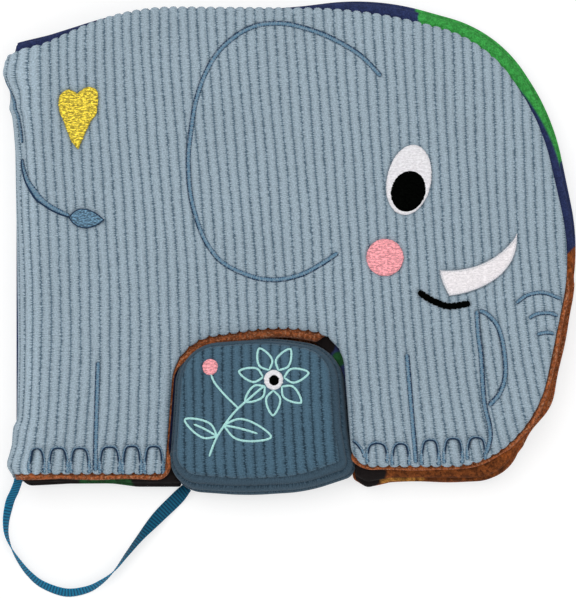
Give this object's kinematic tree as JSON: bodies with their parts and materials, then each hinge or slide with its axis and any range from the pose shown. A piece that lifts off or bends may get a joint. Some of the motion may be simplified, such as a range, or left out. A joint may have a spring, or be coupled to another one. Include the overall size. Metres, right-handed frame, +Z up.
{
  "type": "soft cloth baby book",
  "caption": "Elephant-shaped soft cloth book: padded corduroy covers, padded leaves on a round spine, and a stuffed calf pad on a ribbon in the arch between the legs.",
  "frame": {"origin": "centre of the flat underside of the back cover, half the elephant's length from the spine and half its height from the rear foot", "axes": "+X from the spine towards the trunk, +Y from the feet towards the elephant's back, +Z up out of the front cover"},
  "size_m": [0.2246, 0.2336, 0.025],
  "materials": {
    "pale_corduroy": "soft wide-wale cotton corduroy, pale grey blue",
    "printed_cotton": "matt printed cotton, earth brown",
    "night_cotton": "matt printed cotton, night navy",
    "meadow_cotton": "matt printed cotton, leaf green",
    "wadding": "white polyester wadding",
    "white_thread": "white embroidery thread",
    "black_thread": "black embroidery thread",
    "pink_thread": "pink embroidery thread",
    "gold_thread": "gold metallic embroidery thread",
    "dark_corduroy": "soft cotton corduroy, dark slate blue",
    "grosgrain": "petrol blue grosgrain ribbon with a slight sheen"
  },
  "bodies": {
    "back_cover": {"back_cover_cloth": "pale_corduroy", "back_cover_wadding": "wadding", "back_cover_lining": "printed_cotton"},
    "leaf_2": {"leaf_2_recto": "meadow_cotton", "leaf_2_wadding": "wadding", "leaf_2_verso": "meadow_cotton"},
    "leaf_1": {"leaf_1_recto": "night_cotton", "leaf_1_wadding": "wadding", "leaf_1_verso": "night_cotton"},
    "front_cover": {"front_cover_cloth": "pale_corduroy", "front_cover_wadding": "wadding", "front_cover_lining": "printed_cotton", "eye_white": "white_thread", "eye_pupil": "black_thread", "cheek": "pink_thread", "tusk": "white_thread", "heart": "gold_thread"},
    "calf": {"calf_front_panel": "dark_corduroy", "calf_gusset": "dark_corduroy", "calf_back_panel": "dark_corduroy", "calf_stuffing": "wadding", "ribbon": "grosgrain"}
  },
  "joints": [
    {"name": "leaf_2_turn", "type": "hinge", "parent": "back_cover", "child": "leaf_2", "pos_m": [-0.10805, 0, 0.01035], "axis": [0, -1, 0], "range_deg": [0, 180]},
    {"name": "leaf_1_turn", "type": "hinge", "parent": "leaf_2", "child": "leaf_1", "pos_m": [-0.10805, 0, 0.01035], "axis": [0, -1, 0], "range_deg": [0, 180]},
    {"name": "front_cover_turn", "type": "hinge", "parent": "leaf_1", "child": "front_cover", "pos_m": [-0.10805, 0, 0.01035], "axis": [0, -1, 0], "range_deg": [0, 180]},
    {"name": "calf_pull", "type": "slide", "parent": "back_cover", "child": "calf", "axis": [0, -1, 0], "range_m": [0, 0.09]}
  ]
}
